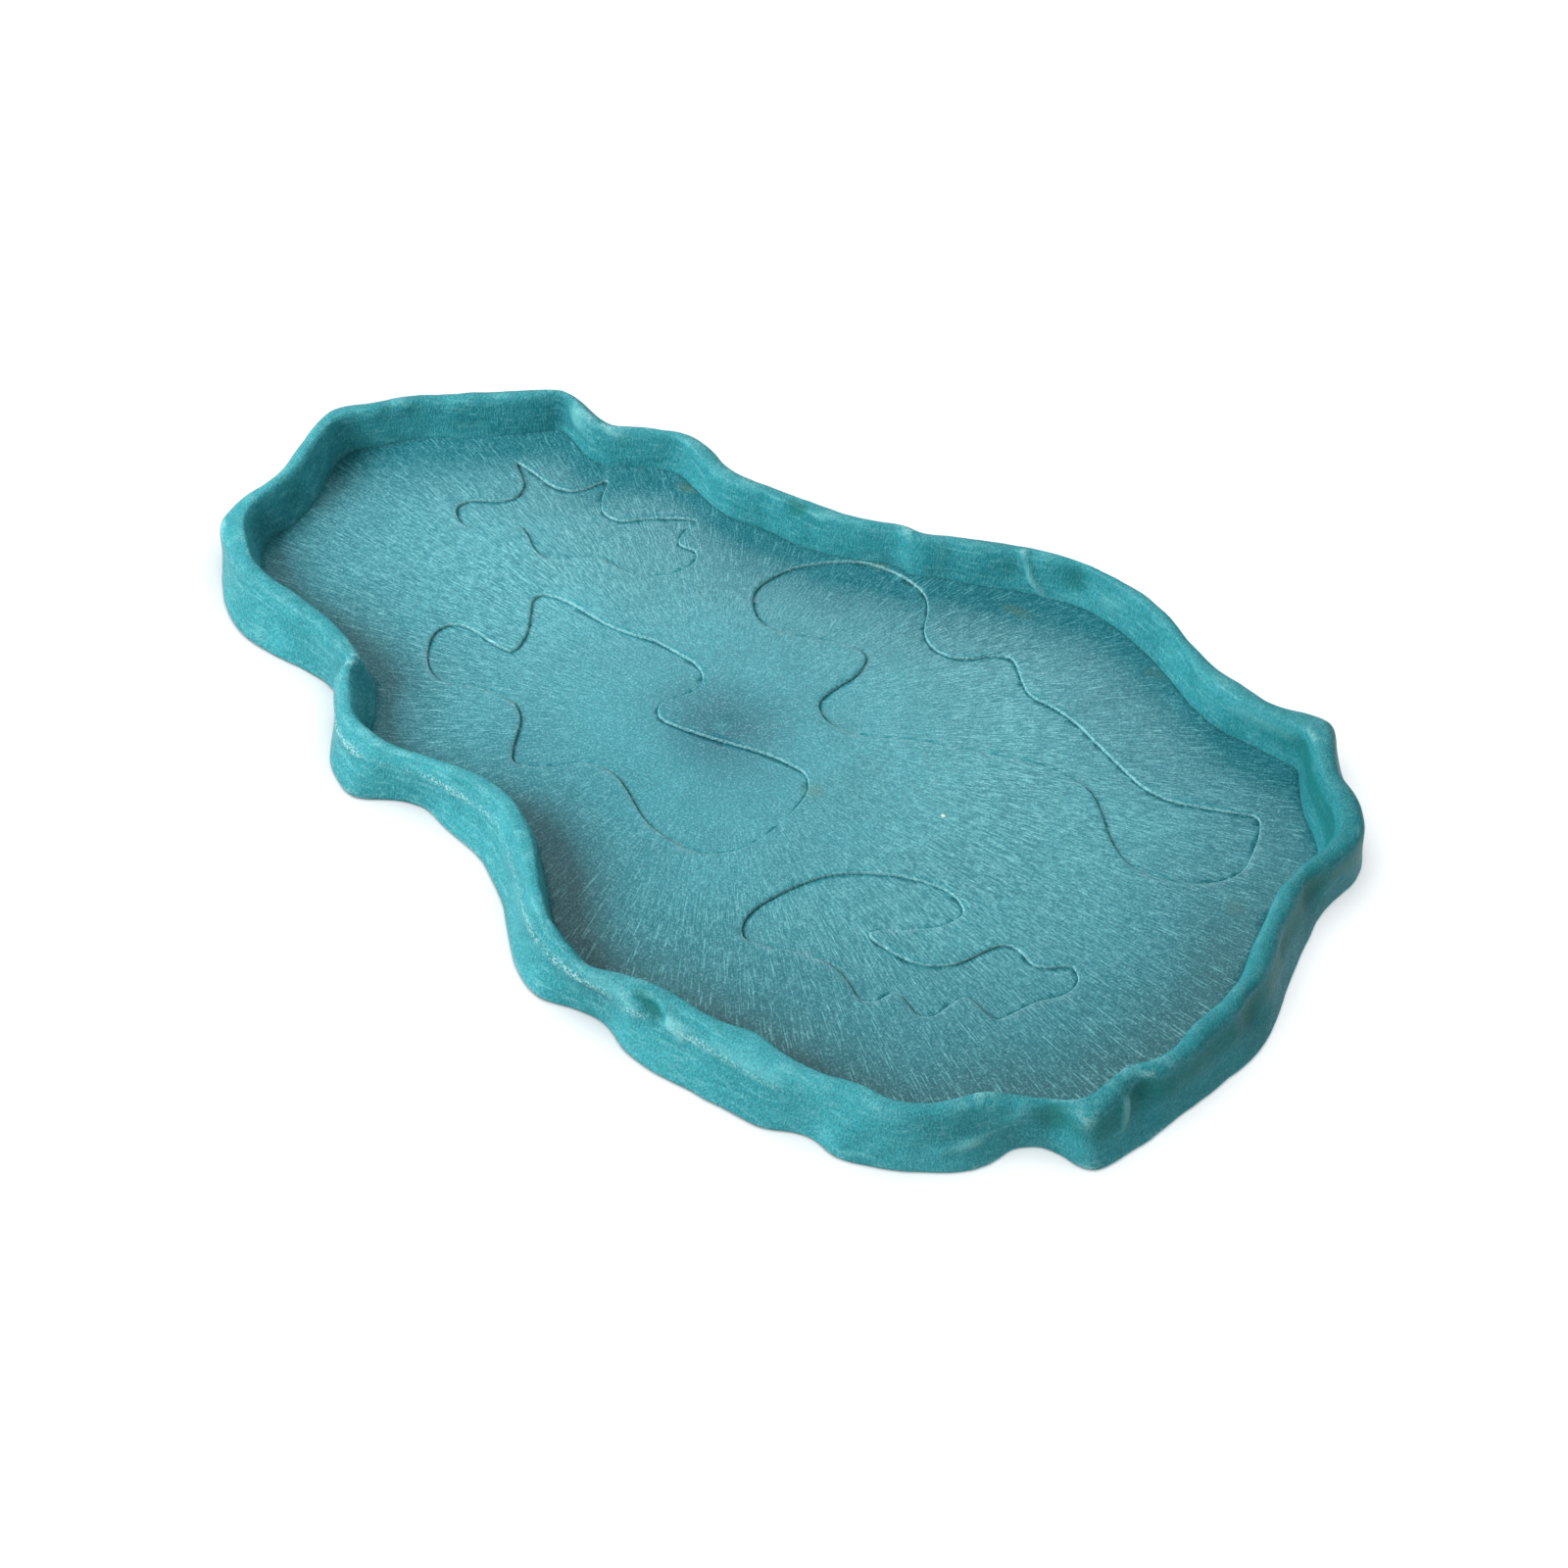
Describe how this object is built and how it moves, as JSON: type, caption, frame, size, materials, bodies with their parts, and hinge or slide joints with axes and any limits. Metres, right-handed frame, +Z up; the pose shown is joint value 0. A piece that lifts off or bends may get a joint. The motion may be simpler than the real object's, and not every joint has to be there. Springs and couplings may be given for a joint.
{
  "type": "resin casting mould",
  "caption": "Shallow irregular tray in soft rubber, with a wavy raised rim and sunken pools in its floor, for casting resin trays.",
  "frame": {"origin": "middle of the tray's bounding box at its underside", "axes": "+X along the tray's length towards its wider end, +Y across it, +Z up out of the tray"},
  "size_m": [0.305, 0.1872, 0.016],
  "materials": {
    "rim": "satin, pearl turquoise",
    "floor": "satin, pearl turquoise with fine flow streaks",
    "pool": "satin, pearl turquoise with fine flow streaks"
  },
  "bodies": {
    "root": {"rim_wall": "rim", "floor_sheet": "floor", "back_left_pool_bed": "pool", "front_left_pool_bed": "pool", "back_right_pool_bed": "pool", "front_right_pool_bed": "pool"}
  },
  "joints": []
}
